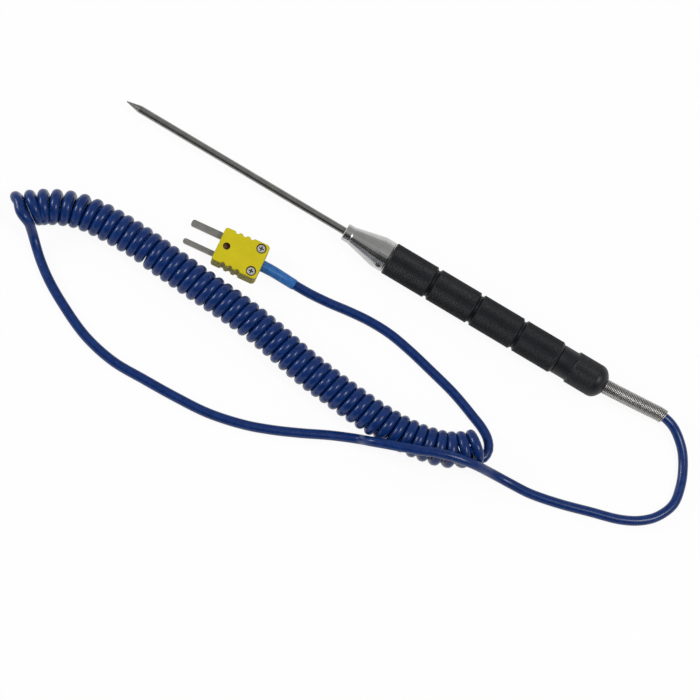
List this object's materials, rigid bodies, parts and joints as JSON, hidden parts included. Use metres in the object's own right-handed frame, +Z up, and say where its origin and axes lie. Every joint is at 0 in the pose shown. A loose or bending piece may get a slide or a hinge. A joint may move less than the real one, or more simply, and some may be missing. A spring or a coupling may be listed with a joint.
{
  "type": "thermocouple probe",
  "caption": "Hand-held penetration probe: a pointed steel sheath in a tapered nose, a knurled black grip, a strain spring, a curly blue cord and a yellow flat-blade plug.",
  "frame": {"origin": "bottom centre of the probe's bounding box, measured without the spring, cord and plug", "axes": "X runs along the probe with its point towards -X and its tail towards +X; +Z is up from the surface it lies on"},
  "size_m": [0.2816, 0.0996, 0.0154],
  "materials": {
    "sheath_steel": "drawn steel, satin",
    "ceramic_white": "fired ceramic, matte",
    "wire_alloy": "bare alloy wire",
    "resin_amber": "cast resin",
    "nose_chrome": "turned and chromed",
    "screw_steel": "plated steel",
    "grip_black": "black anodised, knurled",
    "crimp_copper": "tinned copper alloy",
    "sleeving_clear": "translucent sleeving",
    "core_yellow": "core insulation",
    "core_red": "core insulation",
    "spring_steel": "drawn spring wire",
    "cord_blue": "smooth flexible jacket",
    "sleeve_blue": "shrunk sleeve, satin",
    "plug_yellow": "moulded, satin",
    "blade_alloy": "stamped thermocouple alloy"
  },
  "bodies": {
    "root": {"needle_sheath": "sheath_steel", "insulator_rod": "ceramic_white", "positive_wire": "wire_alloy", "negative_wire": "wire_alloy", "junction_bead": "wire_alloy", "sheath_end_seal": "resin_amber", "nose_cone": "nose_chrome", "nose_set_screw": "screw_steel", "grip_tube": "grip_black", "tail_cap": "grip_black", "positive_ferrule": "crimp_copper", "negative_ferrule": "crimp_copper", "positive_sleeving": "sleeving_clear", "negative_sleeving": "sleeving_clear", "positive_core": "core_yellow", "negative_core": "core_red", "cord_clamp_ring": "crimp_copper", "strain_spring": "spring_steel", "lead_cord": "cord_blue", "coil_cord": "cord_blue", "plug_lead": "cord_blue", "plug_sleeve": "sleeve_blue", "plug_base": "plug_yellow", "plug_cover": "plug_yellow", "wide_blade": "blade_alloy", "narrow_blade": "blade_alloy", "positive_terminal_screw": "crimp_copper", "negative_terminal_screw": "crimp_copper", "positive_plug_core": "core_yellow", "negative_plug_core": "core_red", "cover_screw_left": "screw_steel", "cover_screw_right": "screw_steel"}
  },
  "joints": []
}
